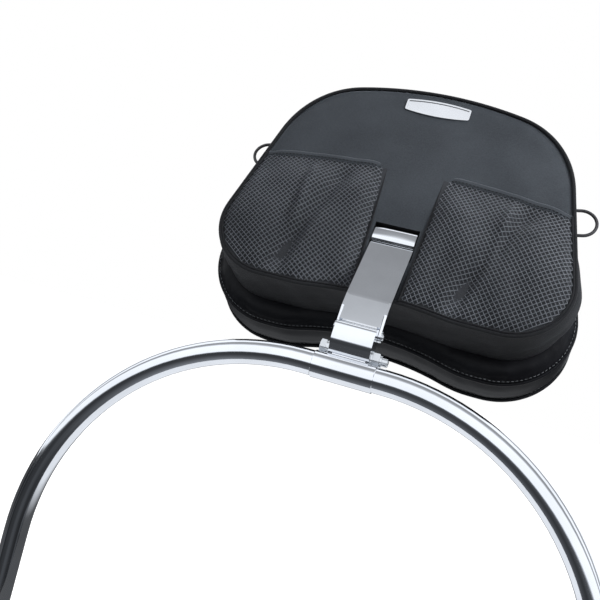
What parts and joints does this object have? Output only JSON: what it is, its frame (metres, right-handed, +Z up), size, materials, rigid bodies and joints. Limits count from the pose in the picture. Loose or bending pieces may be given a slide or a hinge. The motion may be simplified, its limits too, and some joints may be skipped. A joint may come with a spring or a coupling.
{
  "type": "motorcycle driver backrest",
  "caption": "Padded driver backrest with a mesh-pocket storage pouch, on a bent bar, a two-axis hinge and a plug-in tube hoop.",
  "frame": {"origin": "midway between the lower ends of the hoop's two legs", "axes": "+Z up along the legs, +Y forwards to the rider, +X to the right as seen from behind"},
  "size_m": [0.5422, 0.2792, 0.6063],
  "materials": {
    "chrome": "polished",
    "bright_steel": "zinc plated",
    "black_plastic": "matte",
    "plug_plastic": "matte",
    "pouch_fabric": "coarse weave",
    "gusset_fabric": "matte weave",
    "black_binding": "woven binding",
    "mesh": "open net",
    "black_vinyl": "satin grained vinyl",
    "foam": "open-cell foam",
    "plywood": "bare plywood",
    "badge_metal": "bright",
    "ring_metal": "black gloss"
  },
  "bodies": {
    "hoop": {"hoop_tube": "chrome", "left_leg_plug": "plug_plastic", "right_leg_plug": "plug_plastic", "hoop_sleeve": "chrome", "pivot_lug": "chrome"},
    "bracket": {"pivot_bolt": "bright_steel", "pivot_washers": "bright_steel", "spring_washer": "bright_steel", "lock_nut": "bright_steel", "friction_discs": "black_plastic", "hinge_bracket": "chrome", "fold_pin": "bright_steel", "fold_pin_clip": "bright_steel"},
    "backrest": {"upright_bar": "chrome", "bar_screws": "bright_steel", "tee_nuts": "bright_steel", "pouch_body": "gusset_fabric", "pouch_piping": "black_binding", "pouch_face_panel": "pouch_fabric", "slot_binding": "black_binding", "badge": "badge_metal", "left_mesh_pocket": "mesh", "right_mesh_pocket": "mesh", "left_pocket_hem": "pouch_fabric", "right_pocket_hem": "pouch_fabric", "left_ring_tab": "black_binding", "right_ring_tab": "black_binding", "pad_rear_cover": "black_vinyl", "pad_side_band": "black_vinyl", "pad_front_cover": "black_vinyl", "pad_rear_piping": "black_vinyl", "pad_front_piping": "black_vinyl", "pad_board": "plywood", "pad_foam": "foam"},
    "left_ring": {"left_d_ring": "ring_metal"},
    "right_ring": {"right_d_ring": "ring_metal"}
  },
  "joints": [
    {"name": "bracket_tilt", "type": "hinge", "parent": "hoop", "child": "bracket", "pos_m": [0, 0.0118, 0.3299], "axis": [1, 0, 0], "range_deg": [-30, 3]},
    {"name": "bar_fold", "type": "hinge", "parent": "bracket", "child": "backrest", "pos_m": [0, 0.0215, 0.3502], "axis": [1, 0, 0], "range_deg": [-60, 2]},
    {"name": "right_ring_swing", "type": "hinge", "parent": "backrest", "child": "right_ring", "pos_m": [0.1543, 0.13829, 0.50243], "axis": [-0.2107, 0.4023, 0.8909], "range_deg": [-84, 84]},
    {"name": "left_ring_swing", "type": "hinge", "parent": "backrest", "child": "left_ring", "pos_m": [-0.1543, 0.13829, 0.50243], "axis": [0.2107, 0.4023, 0.8909], "range_deg": [-84, 84]}
  ]
}
